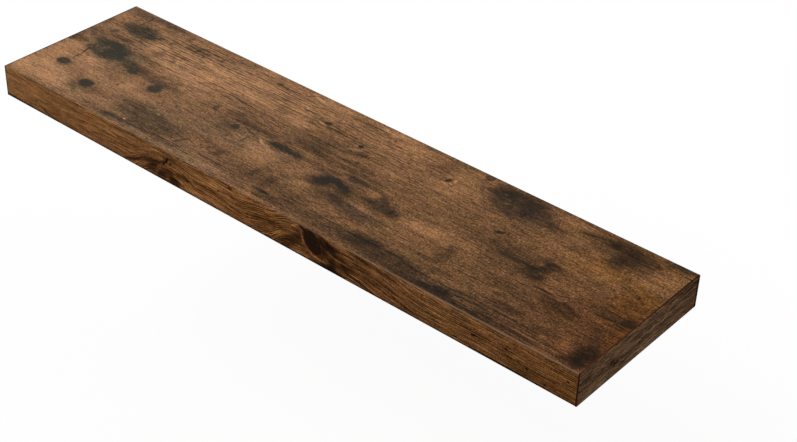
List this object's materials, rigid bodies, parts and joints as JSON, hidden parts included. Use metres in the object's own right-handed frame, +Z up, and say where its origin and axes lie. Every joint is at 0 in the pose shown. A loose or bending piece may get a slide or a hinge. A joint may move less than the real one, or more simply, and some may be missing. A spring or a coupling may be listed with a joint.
{
  "type": "wall shelf",
  "caption": "Thick floating wall shelf: a hollow-core board in rustic brown wood decor that slides on to the rods of a concealed bracket and is locked from below.",
  "frame": {"origin": "on the wall plane, at the centre of the bracket plate's back face", "axes": "+X to the right along the wall, +Y towards the wall, +Z up"},
  "size_m": [0.8, 0.2, 0.038],
  "materials": {
    "top_decor": "satin wood-grain decor foil, brown with dark knots",
    "bottom_decor": "satin wood-grain decor foil, brown",
    "front_band": "satin wood-grain edge band, orange brown",
    "end_band": "satin wood-grain edge band, greyish dark brown",
    "fibreboard": "raw high-density fibreboard",
    "particleboard": "raw particleboard",
    "kraft_paper": "folded kraft paper",
    "bracket_steel": "zinc-plated steel",
    "screw_steel": "black oxide steel",
    "insert_zinc": "die-cast zinc"
  },
  "bodies": {
    "bracket": {"bracket_plate": "bracket_steel", "bracket_rod_left": "bracket_steel", "bracket_rod_centre": "bracket_steel", "bracket_rod_right": "bracket_steel"},
    "shelf": {"top_decor": "top_decor", "bottom_decor": "bottom_decor", "top_panel": "fibreboard", "bottom_panel": "fibreboard", "front_edge_band": "front_band", "left_edge_band": "end_band", "right_edge_band": "end_band", "front_rail": "particleboard", "rear_rail": "particleboard", "left_end_rail": "particleboard", "right_end_rail": "particleboard", "rod_block_left": "particleboard", "rod_block_centre": "particleboard", "rod_block_right": "particleboard", "honeycomb_core_left_end": "kraft_paper", "honeycomb_core_left": "kraft_paper", "honeycomb_core_right": "kraft_paper", "honeycomb_core_right_end": "kraft_paper", "threaded_insert_left": "insert_zinc", "threaded_insert_right": "insert_zinc"},
    "left_lock": {"lock_screw_left": "screw_steel"},
    "right_lock": {"lock_screw_right": "screw_steel"}
  },
  "joints": [
    {"name": "shelf_slide", "type": "slide", "parent": "bracket", "child": "shelf", "axis": [0, -1, 0], "range_m": [0, 0.15]},
    {"name": "left_lock_travel", "type": "slide", "parent": "shelf", "child": "left_lock", "axis": [0, 0, -1], "range_m": [0, 0.0029]},
    {"name": "right_lock_travel", "type": "slide", "parent": "shelf", "child": "right_lock", "axis": [0, 0, -1], "range_m": [0, 0.0029]}
  ]
}
